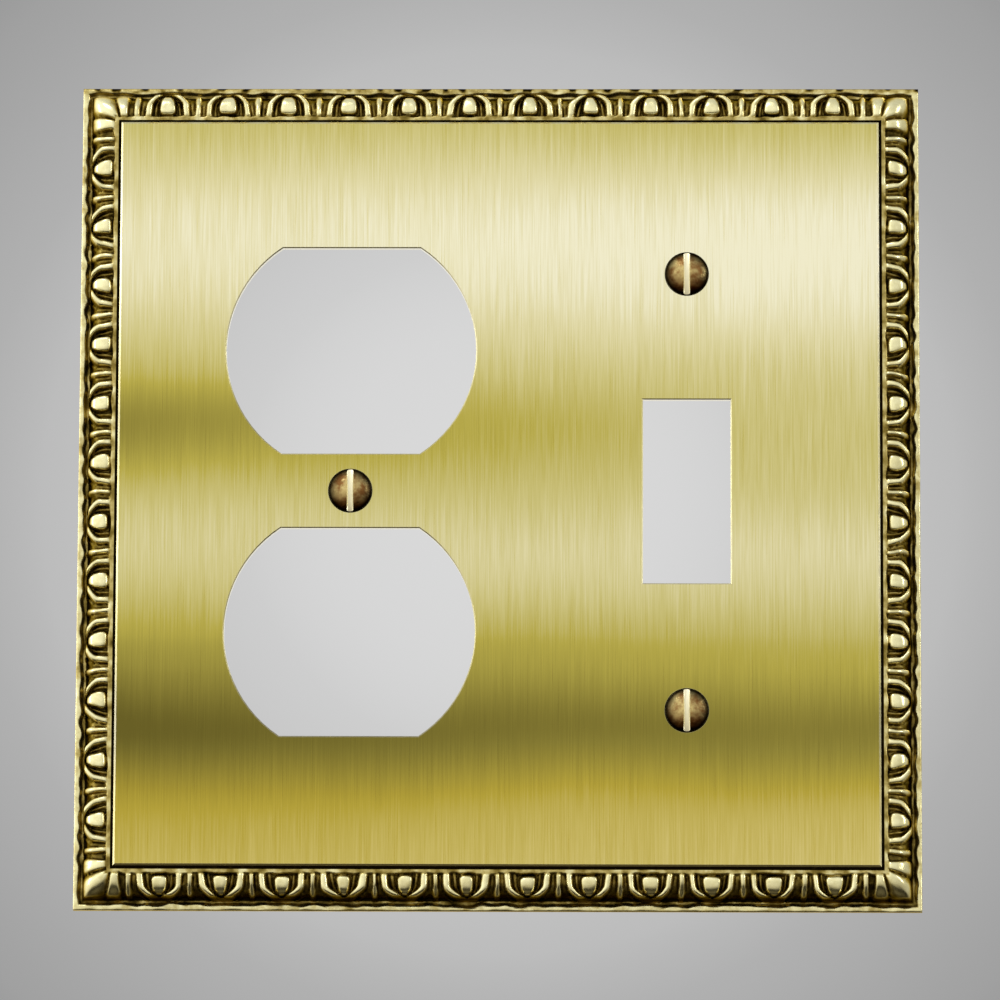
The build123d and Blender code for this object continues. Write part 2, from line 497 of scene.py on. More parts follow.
def corner_leaf(along, inset):
    """The three-lobed leaf that turns the corner, in the same terms as the carving."""
    low, high = np.minimum(along, inset), np.maximum(along, inset)
    crease = LEAF_ROOT - (LEAF_ROOT - low) * 0.24
    edge = LEAF_EDGE - 0.08 * (low - 1.5)
    middle_lobe = flat_ridge((high - low) / np.clip(crease - low, 0.01, None), 1.0)
    side_lobe = flat_ridge(2 * (high - crease) / (edge - crease) - 1, 1.0)
    return np.maximum(middle_lobe, side_lobe) * ease(low, 1.1, 1.75)


def border_columns(length, settings):
    """Positions along a side, closer together where the carving is fine."""
    count = settings.egg_count
    first = settings.first_egg / MM
    half = (length - 2 * first) / (count - 1) / 2
    keys = (0.0, EGG_HALF_WIDTH - 0.3, EGG_HALF_WIDTH, *RIM_BAND, *ARM_BAND, half - DART_HALF_WIDTH, half)
    steps = (3, 3, 2, 3, 2, 5, 3, 2)
    stretches = [np.linspace(a, b, n, endpoint=False) for a, b, n in zip(keys, keys[1:], steps)]
    offsets = np.concatenate(stretches)
    cell = np.concatenate([-half, -offsets[:0:-1], offsets], axis=None)
    positions = [first + index * 2 * half + cell for index in range(count)]
    corner = first - half
    lead = np.linspace(0.0, corner, 30, endpoint=False)
    return np.concatenate([lead, *positions, [length - corner], length - lead[::-1]]), corner, half


def side_grid(length, settings):
    """One side's grid, mitred at both ends, with the corner's length and half an egg's spacing.

    A point has an inset, a place along the side, an offset from the nearest egg and the shells' splay.
    """
    positions, corner, half = border_columns(length, settings)
    inset, start = np.meshgrid(GRID_INSETS, positions, indexing="ij")
    squeeze = (corner - inset) / corner
    along = np.where(start < corner, inset + start * squeeze, start)
    along = np.where(start > length - corner, length - inset - (length - start) * squeeze, along)
    first = settings.first_egg / MM
    index = np.clip(np.round((along - first) / (2 * half)), 0, settings.egg_count - 1)
    offset = along - first - index * 2 * half
    splay = settings.leg_splay / MM * np.sin(math.pi * offset / half)
    within = ease(np.minimum(start, length - start), corner, corner + 0.5)
    shift = splay * ease(inset, ARCH_SPRING - 1.2, CARVED_INSET) * within
    return inset, along, offset, shift, corner, half


def side_carving(x, z, inset, near_corner, offset, corner, half):
    """The carving over one side, hand-cut a little unevenly, between the corners' leaves and the lip."""
    wobbled = offset + 0.12 * wander(x, z, 5.0, 3)
    relief, squareness = carving(wobbled, inset + 0.1 * wander(x, z, 6.0, 5), half)
    at_leaf = near_corner < corner - DART_HALF_WIDTH - 0.1
    leaf = corner_leaf(near_corner + 0.06 * wander(x, z, 4.0, 7), inset + 0.06 * wander(x, z, 4.0, 9))
    relief = np.where(at_leaf, leaf, relief)
    squareness = np.where(at_leaf, OVOLO_SQUARENESS, squareness)
    lip = 0.85 * ease(inset + 0.12 * wander(x, z, 2.8, 43), *LIP_BAND)
    return np.maximum(relief * (1 - 0.2 * ease(inset, *LIP_BAND)), lip), squareness


def side_height(x, z, inset, near_corner, carved, rim_inset, depth):
    """Height of one side's face, softened at the mitre, with the dents and waves of a casting."""
    relief, squareness = carved
    rounding = 0.3 * np.clip(1 - np.abs(near_corner - inset) / 1.3, 0.0, 1.0) ** 2
    rounded = inset - rounding * ease(inset, 1.0, 1.8) * (1 - ease(inset, 4.2, 4.9))
    ground = moulding_height(rounded, rim_inset, depth)
    face = moulding_height(rounded, rim_inset, squareness=squareness)
    height = ground + (face - ground) * relief
    in_from_edge = ease(inset, 0.05, 0.3)
    height = height + in_from_edge * 0.04 * wander(x, z, 2.6, 11)
    height = height + in_from_edge * np.where(inset < 1.0, 0.05, 0.0) * wander(x, z, 6.0, 17)
    return np.minimum(height, FACE_HEIGHT + 0.05)


def side_patina_and_gap_shade(x, z, inset, relief, rim_inset):
    """How dark the antiquing is over one side, with the top rim worn the least evenly, and the near-black
    painted shade of the gap beside the panel.
    """
    patina_and_gap_shade = np.interp(relief, *PATINA) + 0.34 * (1 - ease(inset, 1.5, 2.3))
    trough = 0.66 + 0.16 * wander(x, z, 3.5, 23)
    at_top = ease(z, PLATE_HEIGHT / MM / 2 - 1.0, PLATE_HEIGHT / MM / 2)
    rim = 0.2 + 0.2 * np.clip(wander(x, z, 4.5, 29) - 0.2, 0.0, 1.0)
    rim = rim + at_top * (0.27 + 1.2 * np.clip(wander(x, z, 2.2, 41) - 0.2, 0.0, 0.6))
    rim_edge = rim + (trough - rim) * ease(inset, rim_inset - 0.15, rim_inset + 0.15)
    patina_and_gap_shade = np.where(inset < OVOLO_START + 0.2, trough, patina_and_gap_shade)
    patina_and_gap_shade = np.where(inset < RIM_INSET + 0.3, rim_edge, patina_and_gap_shade)
    patina_and_gap_shade = patina_and_gap_shade + 0.08 * ease(inset, 4.4, 4.65) * (1 + 2.0 * wander(x, z, 3.0, 31))
    # Painted shade: the gap's wall beside the panel is painted near black for the shadow in the deep gap
    return np.where(inset > CARVED_INSET - 0.02, GAP_PAINTED_SHADE, patina_and_gap_shade)


def border_side(length, place, settings):
    """Points of one side's carved face, as a grid of insets by places along the side, and their antiquing
    with the gap's painted shade.
    """
    inset, along, offset, shift, corner, half = side_grid(length, settings)
    near_corner = np.minimum(along, length - along)
    x, z = place(along, inset)
    carved = side_carving(x, z, inset, near_corner, offset, corner, half)
    rim_inset = RIM_INSET + 0.16 * wander(x, z, 3.2, 37)
    height = side_height(x, z, inset, near_corner, carved, rim_inset, settings.carving_depth / MM)
    x, z = place(along + shift, inset)
    return x, -height, z, side_patina_and_gap_shade(x, z, inset, carved[0], rim_inset)


def side_places(width, height):
    """For each side in turn, its length and where a point along it and in from its edge lies."""
    w, h = width / 2, height / 2
    return (
        (width, lambda s, t: (-w + s, -h + t)),
        (height, lambda s, t: (w - t, -h + s)),
        (width, lambda s, t: (w - s, h - t)),
        (height, lambda s, t: (-w + t, h - s)),
    )


def build_border(settings):
    """The border: four carved sides, each with a strip of the plain back, joined at the corners."""
    points, faces, patina_and_gap_shade_values = [], [], []
    for length, place in side_places(PLATE_WIDTH / MM, PLATE_HEIGHT / MM):
        x, y, z, patina_and_gap_shade = border_side(length, place, settings)
        rows, columns = x.shape
        offset = len(points)
        points += np.stack([x, y, z], -1).reshape(-1, 3).tolist()
        patina_and_gap_shade_values += patina_and_gap_shade.ravel().tolist()
        faces += grid_faces(rows, columns, offset)
        first_ring = len(points)
        for inset, level in BACK_OUTLINE:
            for along in (inset, length - inset):
                px, pz = place(along, inset)
                points.append((px, -level, pz))
                # Painted shade: the ledge under the panel gets the gap's near-black value; the plain back
                # gets light antiquing
                patina_and_gap_shade_values.append(GAP_PAINTED_SHADE if level == LEDGE_TOP else BACK_PATINA)
        for ring in range(len(BACK_OUTLINE) - 1):
            a = first_ring + 2 * ring
            faces.append([a, a + 2, a + 3, a + 1])
        outer_edge = [offset + i for i in range(columns)]
        faces.append([first_ring, first_ring + 1, *outer_edge[::-1]])
        inner_edge = [offset + (rows - 1) * columns + i for i in range(columns)]
        last_ring = first_ring + 2 * len(BACK_OUTLINE) - 2
        faces.append([*inner_edge, last_ring + 1, last_ring])
    mesh = bpy.data.meshes.new("border_frame_carved")
    mesh.from_pydata((np.array(points) * MM).tolist(), [], faces)
    # The attribute carries the antiquing and the gap's painted shade
    values = mesh.attributes.new("patina_and_gap_shade", "FLOAT", "POINT")
    values.data.foreach_set("value", patina_and_gap_shade_values)
    piece = new_object("border_frame_carved", mesh)
    finish_shading(piece, 75.0)
    attach(piece, "border_frame")
    return piece


def antique_brass_material(settings, groups):
    """Cast brass, dark in the recesses, brown on their slopes and rubbed bright on the high points, with a
    near-black painted shade in the gap beside the panel.
    """
    material, tree, shader = new_material(
        "antique_brass", Metallic=1.0, Specular_Tint=(0.8, 0.62, 0.3, 1.0)
    )
    point = object_point(tree)
    patina_and_gap_shade = add_node(tree, "ShaderNodeAttribute", attribute_name="patina_and_gap_shade").outputs["Fac"]
    tarnish = place_group(tree, groups["Tarnish"], Vector=point, Patch_Size=1.3 * MM)
    uneven = remap(tree, tarnish["Clouds"], 0.0, 1.0, -0.13, 0.13)
    uneven = calculate(tree, "ADD", uneven, calculate(tree, "MULTIPLY", tarnish["Specks"], 0.14))
    dark = calculate(tree, "ADD", patina_and_gap_shade, uneven)
    colour = ramp(tree, dark, (
        (0.0, tuple(settings.high_colour)),
        (0.2, (0.77, 0.70, 0.37)),
        (0.42, (0.52, 0.42, 0.15)),
        (0.64, (0.25, 0.18, 0.04)),
        (0.88, tuple(settings.low_colour)),
        # Past the darkest antiquing: the near-black painted shade of the gap beside the panel
        (1.0, (0.008, 0.005, 0.001)),
    ))
    roughness = remap(tree, dark, 0.1, 0.8, 0.24, 0.5)
    normal = bump(tree, noise(tree, point, 5200.0, 3.0), 0.02 * MM, 0.4)
    feed_inputs(tree, shader, Base_Color=colour, Roughness=roughness, Normal=normal)
    return material


# -------- panel


def brushed_brass_material(settings, groups):
    """Satin brass sheet brushed from top to bottom, with painted reflection: light and dark bands of the
    room painted across its colour by height, and a painted pale sheen on the faces that turn away from the
    front.
    """
    material, tree, shader = new_material("brushed_brass", Metallic=1.0, Anisotropic=0.85)
    point = object_point(tree)
    lines = place_group(
        tree, groups["Brush lines"], Vector=point,
        Line_Width=settings.line_width, Line_Length=settings.line_length,
    )
    drift = noise(tree, point, 22.0, 1.0)
    place = components(tree, point)
    level = remap(tree, place["Z"], PANEL_LOW.z, PANEL_HIGH.z)
    level = calculate(tree, "ADD", level, remap(tree, drift, 0.3, 0.7, -0.012, 0.012))
    # Painted reflection: light and dark bands of the room's reflection painted in by height, deeper on the
    # left than on the right
    left = ramp(tree, level, (
        (0.0, 0.47), (0.09, 0.33), (0.175, 0.11), (0.26, 0.22), (0.31, 0.35), (0.41, 0.56),
        (0.50, 0.46), (0.585, 0.23), (0.65, 0.42), (0.74, 0.62), (0.82, 0.71), (0.91, 0.64), (1.0, 0.48),
    ), "CARDINAL")
    right = ramp(tree, level, (
        (0.0, 0.54), (0.09, 0.44), (0.175, 0.205), (0.25, 0.34), (0.31, 0.45), (0.41, 0.63),
        (0.50, 0.54), (0.60, 0.52), (0.69, 0.62), (0.80, 0.80), (0.90, 0.72), (1.0, 0.47),
    ), "CARDINAL")
    sideways = remap(tree, place["X"], PANEL_LOW.x, PANEL_HIGH.x * 0.75)
    painted_reflection_tone = mix_colour(tree, sideways, left, right)
    fine = remap(tree, lines["Fine"], 0.3, 0.7, 0.88, 1.12)
    broad = remap(tree, lines["Broad"], 0.3, 0.7, 0.97, 1.03)
    brushed = calculate(tree, "MULTIPLY", calculate(tree, "MULTIPLY", painted_reflection_tone, fine), broad)
    # Painted reflection: the bands turned into colours, from dark olive in the dim bands to pale cream in
    # the bright ones
    colour = ramp(tree, brushed, (
        (0.11, (0.138, 0.114, 0.020)),
        (0.39, (0.456, 0.386, 0.070)),
        (0.52, (0.584, 0.521, 0.205)),
        (0.66, (0.716, 0.658, 0.376)),
        (0.80, (0.840, 0.800, 0.584)),
    ))
    wear = place_group(tree, groups["Edge wear"], Vector=point, Radius=0.18 * MM, Patchiness=0.4)
    # Painted reflection: the bottom band warmed in hue
    painted_reflection_warmth = remap(tree, level, 0.16, 0.1)
    colour = mix_colour(tree, painted_reflection_warmth, colour, (1.0, 0.92, 0.66), "MULTIPLY")
    rubbed = calculate(tree, "MULTIPLY", wear["Wear"], 0.35)
    colour = mix_colour(tree, rubbed, colour, (0.93, 0.88, 0.66))
    # Painted sheen: faces turned away from the front, the sheet's edges and the walls of its openings, are
    # painted pale for a grazing reflection
    painted_side_wall_sheen = remap(tree, calculate(tree, "ABSOLUTE", surface_direction(tree)["Y"]), 0.8, 0.4)
    colour = mix_colour(tree, painted_side_wall_sheen, colour, (0.96, 0.93, 0.80))
    roughness = remap(tree, lines["Fine"], 0.25, 0.75, 0.26, 0.34)
    normal = bump(tree, lines["Fine"], 0.004 * MM)
    feed_inputs(tree, shader, Base_Color=colour, Roughness=roughness, Normal=normal)
    across = add_node(tree, "ShaderNodeCombineXYZ")
    feed_inputs(tree, across, X=1.0)
    feed_inputs(tree, shader, Tangent=across.outputs[0])
    return material


# -------- screws


HEAD_EDGE_HEIGHT = 6.45
HEAD_RADIUS = 2.95
SHANK_RADIUS = 1.4
THREAD_RADIUS = 1.7525
THREAD_ROOT_RADIUS = 1.3
THREAD_END_HEIGHT = 0.3
COUNTERSINK_HALF_ANGLE = 41
SCREW_SEGMENTS = 48


def screw_axis(node):
    low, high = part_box(node)
    return Vector(((low.x + high.x) / 2, 0.0, (low.z + high.z) / 2))


def screw_rows(tip, crown):
    """A screw's outline from tip to crown: rows of height, radius without thread and depth of thread."""
    cone_length = (HEAD_RADIUS - SHANK_RADIUS) / math.tan(math.radians(COUNTERSINK_HALF_ANGLE))
    cone_foot = HEAD_EDGE_HEIGHT - cone_length
    rise = crown - HEAD_EDGE_HEIGHT - 0.06
    dome_radius = (HEAD_RADIUS**2 + rise**2) / (2 * rise)
    rows = [(tip, 0.0, 0.0), (tip, 0.6, 0.0), (tip, 1.05, 0.0)]
    for level in np.arange(tip + 0.05, THREAD_END_HEIGHT, 0.06):
        body = min(THREAD_ROOT_RADIUS, 1.1 + (level - tip) * 0.6)
        run_in = ease(level, tip, tip + 0.9)
        run_out = 1 - ease(level, THREAD_END_HEIGHT - 0.35, THREAD_END_HEIGHT)
        rows.append((level, body, float(run_in * run_out)))
    rows += [
        (THREAD_END_HEIGHT, THREAD_ROOT_RADIUS, 0.0),
        (THREAD_END_HEIGHT + 0.08, SHANK_RADIUS, 0.0),
        (cone_foot - 0.1, SHANK_RADIUS, 0.0),
        (cone_foot + 0.1, SHANK_RADIUS + 0.12, 0.0),
        (HEAD_EDGE_HEIGHT - 0.04, HEAD_RADIUS - 0.04, 0.0),
        (HEAD_EDGE_HEIGHT, HEAD_RADIUS, 0.0),
        (HEAD_EDGE_HEIGHT + 0.06, HEAD_RADIUS - 0.01, 0.0),
    ]
    for angle in np.linspace(math.asin(HEAD_RADIUS / dome_radius), 0.0, 16)[1:]:
        rows.append((crown - dome_radius * (1 - math.cos(angle)), dome_radius * math.sin(angle), 0.0))
    return rows


def screw_points(rows, pitch):
    """Points of one screw about the Y axis, row by row, with its thread as a helix."""
    turns = np.arange(SCREW_SEGMENTS) / SCREW_SEGMENTS
    points = []
    for level, body, bite in rows:
        phase = (level / pitch - turns) % 1.0
        crest = np.clip(1.2 * np.abs(2 * phase - 1) - 0.1, 0.0, 1.0)
        radius = body + bite * crest * (THREAD_RADIUS - THREAD_ROOT_RADIUS)
        angle = turns * 2 * math.pi
        points += [(r * math.cos(a), -level, r * math.sin(a)) for r, a in zip(radius, angle)]
    return np.array(points)


def cut_slot(piece, axis, width, floor, top):
    """Cuts the screwdriver slot, with a rounded floor, and gives its walls the piece's second material."""
    half = width / 2
    outline = [(-half, top), (-half, floor + 0.12), (-half * 0.7, floor + 0.02), (0.0, floor),
               (half * 0.7, floor + 0.02), (half, floor + 0.12), (half, top)]
    reach = 3.6
    points = [(x, -d, z) for z in (-reach, reach) for x, d in outline]
    n = len(outline)
    faces = [list(range(n))[::-1], list(range(n, 2 * n))]
    faces += [[i, (i + 1) % n, n + (i + 1) % n, n + i] for i in range(n)]
    mesh = bpy.data.meshes.new("slot_cutter")
    mesh.from_pydata([tuple(Vector(p) * MM + axis) for p in points], [], faces)
    clean_faces(mesh)
    cutter = new_object("slot_cutter", mesh)
    for material in piece.data.materials:
        cutter.data.materials.append(material)
    mesh.polygons.foreach_set("material_index", [1] * len(mesh.polygons))
    cut = piece.modifiers.new("slot", "BOOLEAN")
    cut.operation = "DIFFERENCE"
    cut.solver = "EXACT"
    cut.object = cutter
    shaped = bpy.data.meshes.new_from_object(piece.evaluated_get(bpy.context.evaluated_depsgraph_get()))
    piece.modifiers.clear()
    piece.data = shaped
    bpy.data.objects.remove(cutter)


def aged_brass_material(settings, groups):
    """Aged brass plating, browner than the plate and rubbed bright on its edges, with painted shade on
    faces turned downwards and round the rim of the dome.
    """
    material, tree, shader = new_material(
        "aged_brass_screw", Metallic=1.0, Specular_Tint=(0.35, 0.2, 0.1, 1.0)
    )
    point = object_point(tree)
    tarnish = place_group(tree, groups["Tarnish"], Vector=point, Patch_Size=1.3 * MM)
    wear = place_group(tree, groups["Edge wear"], Vector=point, Radius=0.12 * MM, Patchiness=0.6)
    facing = surface_direction(tree)
    on_head = remap(tree, components(tree, point)["Y"], -6.0 * MM, -6.3 * MM)
    # Painted shade: the head darkens towards the rim of its dome as it turns away from the front
    shaded = ramp(tree, remap(tree, facing["Y"], -1.0, -0.78), (
        (0.0, 1.0), (0.30, 0.75), (0.55, 0.30), (0.75, 0.06), (0.9, 0.01)
    ))
    # Painted shade: faces turned downwards are darkened brown, as if in shadow
    painted_shade_below = remap(tree, facing["Z"], 0.05, -0.4)
    plating = mix_colour(tree, tarnish["Clouds"], settings.plating, (0.26, 0.12, 0.035))
    painted_shade_tint = mix_colour(tree, 1.0, plating, (0.30, 0.16, 0.09), "MULTIPLY")
    plating = mix_colour(tree, painted_shade_below, plating, painted_shade_tint)
    painted_rim_shade = mix_colour(tree, 1.0, plating, shaded, "MULTIPLY")
    plating = mix_colour(tree, on_head, plating, painted_rim_shade)
    rubbed = calculate(tree, "MULTIPLY", wear["Wear"], 0.5)
    colour = mix_colour(tree, rubbed, plating, (0.66, 0.54, 0.28))
    roughness = remap(tree, tarnish["Clouds"], 0.0, 1.0, 0.28, 0.44)
    normal = bump(tree, noise(tree, point, 1300.0, 2.0), 0.12 * MM, 0.9)
    feed_inputs(tree, shader, Base_Color=colour, Roughness=roughness, Normal=normal)
    return material


def slot_brass_material(groups):
    """Bare bright brass where the slot was cut through the plating."""
    material, tree, shader = new_material("slot_brass", Metallic=1.0)
    point = object_point(tree)
    lines = place_group(
        tree, groups["Brush lines"], Vector=point, Line_Width=0.06 * MM, Line_Length=3.0 * MM
    )
    streaks = remap(tree, lines["Fine"], 0.3, 0.7)
    colour = mix_colour(tree, streaks, (0.96, 0.90, 0.64), (0.84, 0.76, 0.50))
    roughness = remap(tree, lines["Fine"], 0.3, 0.7, 0.3, 0.45)
    feed_inputs(tree, shader, Base_Color=colour, Roughness=roughness)
    return material


# -------- washers and solder


WASHER_INNER_RADIUS = 1.5
WASHER_SOFT_EDGE = 0.14
BEAD_LENGTH = 9.0
BEAD_LEG = 1.1
BEAD_PLACES = (-32.0, 0.0, 32.0)


def lathe(profile, segments):
    """Points and faces of a closed outline, given as radius and height, turned about the Y axis."""
    turns = np.arange(segments) / segments * 2 * math.pi
    points = [(r * math.cos(a), -d, r * math.sin(a)) for r, d in profile for a in turns]
    rows = len(profile)
    faces = grid_faces(rows, segments, closed=True)
    last = (rows - 1) * segments
    faces += [[last + i, last + (i + 1) % segments, (i + 1) % segments, i] for i in range(segments)]
    return np.array(points), faces


def washer_profile(node):
    """A rounded rectangle: the washer's section."""
    low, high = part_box(node)
    outer = (high.x - low.x) / 2 / MM
    inner = WASHER_INNER_RADIUS
    bottom, top = -high.y / MM, -low.y / MM
    soft = WASHER_SOFT_EDGE
    corners = ((inner, bottom, 180), (outer, bottom, 270), (outer, top, 0), (inner, top, 90))
    profile = []
    for radius, level, turn in corners:
        centre_r = radius + (soft if radius == inner else -soft)
        centre_d = level + (soft if level == bottom else -soft)
        for step in range(5):
            angle = math.radians(turn + step * 22.5)
            profile.append((centre_r + soft * math.cos(angle), centre_d + soft * math.sin(angle)))
    return profile


def fibre_material(groups):
    """Red-brown vulcanised fibre, matt, with a faint mottle and paler worn edges."""
    material, tree, shader = new_material("washer_fibre", Metallic=0.0)
    point = object_point(tree)
    tarnish = place_group(tree, groups["Tarnish"], Vector=point, Patch_Size=0.9 * MM)
    wear = place_group(tree, groups["Edge wear"], Vector=point, Radius=0.16 * MM, Patchiness=0.7)
    colour = mix_colour(tree, tarnish["Clouds"], (0.30, 0.065, 0.035), (0.20, 0.045, 0.028))
    colour = mix_colour(tree, wear["Wear"], colour, (0.45, 0.18, 0.11))
    roughness = remap(tree, tarnish["Clouds"], 0.0, 1.0, 0.55, 0.75)
    normal = bump(tree, noise(tree, point, 7000.0, 4.0), 0.02 * MM, 0.5)
    feed_inputs(tree, shader, Base_Color=colour, Roughness=roughness, Normal=normal)
    return material


def solder_bead(centre, along, inwards, seed):
    """One fillet of solder between the ledge's edge and the panel's back, thinning out at both ends."""
    low = Vector((0, PANEL_HIGH.y / MM, 0))
    rng = np.random.default_rng(seed)
    lumps = rng.uniform(0, 2 * math.pi, 3)
    stations, steps = 36, 9
    points = []
    for u in np.linspace(-1, 1, stations):
        waves = sum(math.sin(u * (3 + 2 * k) + phase) for k, phase in enumerate(lumps)) / 3
        swell = (1 - abs(u) ** 5) ** 0.5 * (1 + 0.10 * waves)
        size = max(BEAD_LEG * swell * 0.95, 0.02)
        section = [(0.0, 0.0)]
        for step in range(steps):
            angle = math.radians(90 * step / (steps - 1))
            reach = size * (1 - 0.32 * math.sin(2 * angle))
            section.append((reach * math.cos(angle), reach * math.sin(angle)))
        for across, back in section:
            points.append(
                centre + along * (u * BEAD_LENGTH / 2) + inwards * across + Vector((0, back, 0)) + low
            )
    columns = steps + 1
    faces = grid_faces(stations, columns, closed=True)
    faces.append(list(range(columns)))
    faces.append(list(range((stations - 1) * columns, stations * columns))[::-1])
    return points, faces


def solder_material(groups):
    """Dull soft solder with a frosted skin and a little flux at its edges."""
    material, tree, shader = new_material("solder", Metallic=1.0)
    point = object_point(tree)
    tarnish = place_group(tree, groups["Tarnish"], Vector=point, Patch_Size=1.4 * MM)
    colour = mix_colour(tree, tarnish["Clouds"], (0.60, 0.60, 0.58), (0.40, 0.385, 0.35))
    roughness = remap(tree, tarnish["Clouds"], 0.0, 1.0, 0.3, 0.55)
    normal = bump(tree, noise(tree, point, 2600.0, 3.0), 0.05 * MM, 0.6)
    feed_inputs(tree, shader, Base_Color=colour, Roughness=roughness, Normal=normal)
    return material


# -------- stage


def new_camera(settings):
    """A long lens looking at the plate's middle, slightly from below."""
    data = bpy.data.cameras.new("camera")
    camera = new_object("camera", data)
    a, e = settings.azimuth, settings.elevation
    back = Vector((math.sin(a) * math.cos(e), -math.cos(a) * math.cos(e), math.sin(e)))
    camera.location = back * settings.distance
    rotation = (-back).to_track_quat("-Z", "Y").to_matrix().to_4x4()
    roll = Matrix.Rotation(settings.roll, 4, "Z")
    camera.matrix_world = Matrix.Translation(camera.location) @ rotation @ roll
    data.lens = settings.lens
    data.sensor_width = 36.0
    data.shift_x = 0.001
    data.shift_y = -0.0022
    data.clip_start = 0.05
    data.clip_end = 50.0
    bpy.context.scene.camera = camera
    return back


def backdrop_material(centre):
    """Pale paper that glows by itself, with a painted pool of light brightest behind the plate."""
    material = bpy.data.materials.new("backdrop_paper")
    material.use_nodes = True
    tree = material.node_tree
    tree.nodes.clear()
    away = add_node(tree, "ShaderNodeVectorMath", operation="DISTANCE")
    feed(tree, away.inputs[0], object_point(tree))
    away.inputs[1].default_value = centre
    # Painted pool of light: the glow fades from behind the plate out to the edges
    glow = ramp(tree, remap(tree, away.outputs["Value"], 0.0, 0.4), (
        (0.0, 0.70), (0.22, 0.68), (0.34, 0.63), (0.6, 0.485), (0.69, 0.445), (0.9, 0.342), (1.0, 0.31)
    ), "B_SPLINE")
    light = add_node(tree, "ShaderNodeEmission")
    feed(tree, light.inputs["Color"], glow)
    output = add_node(tree, "ShaderNodeOutputMaterial")
    tree.links.new(light.outputs[0], output.inputs[0])
    return material


def floor_material():
    material, tree, shader = new_material("floor_paper", Metallic=0.0, Roughness=0.85)
    mottle = noise(tree, object_point(tree), 40.0, 3.0)
    feed_inputs(tree, shader, Base_Color=mix_colour(tree, mottle, (0.60, 0.60, 0.59), (0.64, 0.64, 0.63)))
    return material


def new_sheet(name, corners, material):
    mesh = bpy.data.meshes.new(name)
    mesh.from_pydata(corners, [], [list(range(len(corners)))])
    mesh.materials.append(material)
    sheet = new_object(name, mesh)
    sheet.visible_glossy = False
    return sheet


def new_light(name, place, size, power, colour=(1, 1, 1)):
    """A softbox that faces the plate's middle."""
    data = bpy.data.lights.new(name, "AREA")
    data.shape = "RECTANGLE"
    data.size, data.size_y = size
    data.energy = power
    data.color = colour
    light = new_object(name, data)
    light.location = place
    light.rotation_mode = "QUATERNION"
    light.rotation_quaternion = (-Vector(place)).to_track_quat("-Z", "Y")
    light.visible_camera = False
    return light


def light_room():
    """A soft room: plain grey to the camera; to the metal bright above, dim below, dimmer on the right."""
    world = bpy.data.worlds.new("studio")
    bpy.context.scene.world = world
    world.use_nodes = True
    tree = world.node_tree
    tree.nodes.clear()
    direction = components(tree, add_node(tree, "ShaderNodeTexCoord").outputs["Generated"])
    rise = remap(tree, direction["Z"], -1.0, 1.0)
    tones = ramp(tree, rise, (
        (0.0, (0.12, 0.105, 0.07)),
        (0.05, (0.05, 0.043, 0.028)),
        (0.08, (0.03, 0.025, 0.015)),
        (0.13, (0.03, 0.025, 0.015)),
        (0.19, (0.40, 0.37, 0.30)),
        (0.30, (0.72, 0.69, 0.62)),
        (0.50, (0.86, 0.85, 0.81)),
        (0.60, (1.05, 1.05, 1.03)),
        (0.78, (0.98, 0.99, 1.0)),
        (1.0, (0.70, 0.72, 0.75)),
    ))
    sideways = remap(tree, direction["X"], -1.0, 1.0, 1.42, 0.63)
    tones = mix_colour(tree, 1.0, tones, sideways, "MULTIPLY")
    seen = add_node(tree, "ShaderNodeBackground")
    seen.inputs["Color"].default_value = (0.52, 0.52, 0.52, 1.0)
    room = add_node(tree, "ShaderNodeBackground")
    feed(tree, room.inputs["Color"], tones)
    choose = add_node(tree, "ShaderNodeMixShader")
    feed(tree, choose.inputs[0], add_node(tree, "ShaderNodeLightPath").outputs["Is Camera Ray"])
    tree.links.new(room.outputs[0], choose.inputs[1])
    tree.links.new(seen.outputs[0], choose.inputs[2])
    output = add_node(tree, "ShaderNodeOutputWorld")
    tree.links.new(choose.outputs[0], output.inputs[0])


# -------- operators


def shared_effects():
    """The shared node groups, made once and found again by name."""
    makers = {"Brush lines": brush_lines_group, "Edge wear": edge_wear_group, "Tarnish": tarnish_group}
    return {name: bpy.data.node_groups.get(name) or make() for name, make in makers.items()}


class WALLPLATE_OT_stage(bpy.types.Operator):
    """Set the camera, lights, backdrop and floor"""

    bl_idname = "wallplate.stage"
    bl_label = "Stage"

    def execute(self, context):
        back = new_camera(context.scene.wallplate_stage)
        scene = context.scene
        scene.view_settings.view_transform = "Standard"
        depth = 2.6
        behind = Vector((-back.x / -back.y * depth, depth, back.z / back.y * depth))
        far, low, high = depth, -1.6, 3.2
        new_sheet("backdrop", [(-4, far, low), (4, far, low), (4, far, high), (-4, far, high)],
                  backdrop_material(behind))
        new_sheet("floor", [(-6, -6, low), (6, -6, low), (6, far, low), (-6, far, low)], floor_material())
        light_room()
        new_light("key_softbox", (-0.7, -1.2, 1.7), (0.9, 0.5), 6.5, (1.0, 0.99, 0.96))
        new_light("right_strip", (1.5, -0.7, 0.5), (0.25, 1.0), 5.0)
        new_light("left_strip", (-1.6, 0.05, 0.25), (0.3, 0.8), 3.5)
        new_light("back_fill", (0.8, 1.6, 1.0), (0.9, 0.9), 12.0)
        return {"FINISHED"}


class WALLPLATE_OT_border(bpy.types.Operator):
    """Carve the egg-and-dart border"""

    bl_idname = "wallplate.border"
    bl_label = "Carved border"

    def execute(self, context):
        settings = context.scene.wallplate_border
        piece = build_border(settings)
        piece.data.materials.append(antique_brass_material(settings, shared_effects()))
        return {"FINISHED"}


